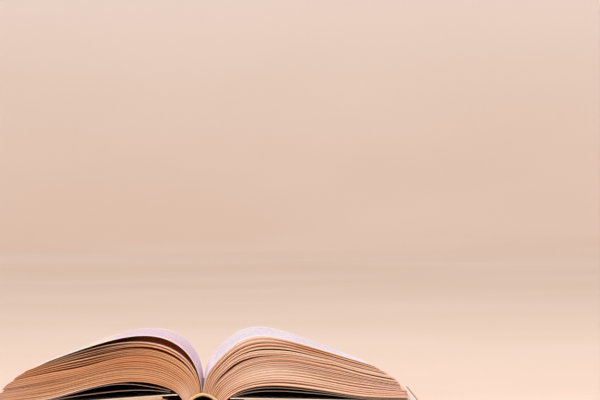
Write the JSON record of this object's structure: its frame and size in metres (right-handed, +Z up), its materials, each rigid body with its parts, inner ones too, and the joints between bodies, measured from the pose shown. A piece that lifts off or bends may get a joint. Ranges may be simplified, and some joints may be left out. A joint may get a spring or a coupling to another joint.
{
  "type": "open hardback book",
  "caption": "Thick hardback book lying open face up, its leaves risen in humps, with hinged cover boards and a top leaf that lifts",
  "frame": {"origin": "on the table under the middle of the spine, midway between head and tail", "axes": "+X across the spread to the reader's right, +Y from tail to head, +Z up"},
  "size_m": [0.3269, 0.24, 0.0561],
  "materials": {
    "left_pages": "matte warm tan page edges",
    "right_pages": "matte pale tan page edges",
    "loose_leaf": "matte uncoated white",
    "endpaper": "matte uncoated off-white",
    "cover_cloth": "tan book cloth over board",
    "joint_cloth": "tan book cloth",
    "spine_lining": "glued cream lining",
    "end_band": "sewn gold and cream thread"
  },
  "bodies": {
    "text_block": {"left_section_1": "left_pages", "left_section_2": "left_pages", "left_section_3": "left_pages", "left_section_4": "left_pages", "left_section_5": "left_pages", "left_section_6": "left_pages", "left_section_7": "left_pages", "left_section_8": "left_pages", "right_section_1": "right_pages", "right_section_2": "right_pages", "right_section_3": "right_pages", "right_section_4": "right_pages", "right_section_5": "right_pages", "right_section_6": "right_pages", "right_section_7": "right_pages", "right_section_8": "right_pages", "left_flyleaf_1": "endpaper", "left_flyleaf_2": "endpaper", "right_flyleaf_1": "endpaper", "right_flyleaf_2": "endpaper", "loose_leaf_inner": "loose_leaf", "left_endpaper_joint": "endpaper", "right_endpaper_joint": "endpaper", "left_joint_cloth_spine": "joint_cloth", "right_joint_cloth_spine": "joint_cloth", "case_spine": "cover_cloth", "spine_lining": "spine_lining", "tail_band": "end_band", "head_band": "end_band"},
    "left_cover": {"left_board": "cover_cloth", "left_pastedown": "endpaper", "left_joint_cloth_board": "joint_cloth"},
    "right_cover": {"right_board": "cover_cloth", "right_pastedown": "endpaper", "right_joint_cloth_board": "joint_cloth"},
    "leaf_flap": {"loose_leaf_outer": "loose_leaf"}
  },
  "joints": [
    {"name": "left_cover_hinge", "type": "hinge", "parent": "text_block", "child": "left_cover", "pos_m": [-0.0235, 0, 0.0116], "axis": [0, -1, 0], "range_deg": [0, 45]},
    {"name": "right_cover_hinge", "type": "hinge", "parent": "text_block", "child": "right_cover", "pos_m": [0.0235, 0, 0.0083], "axis": [0, 1, 0], "range_deg": [0, 45]},
    {"name": "leaf_lift", "type": "hinge", "parent": "text_block", "child": "leaf_flap", "pos_m": [-0.02475, 0, 0.05125], "axis": [0, 1, -0.0089], "range_deg": [0, 75]}
  ]
}
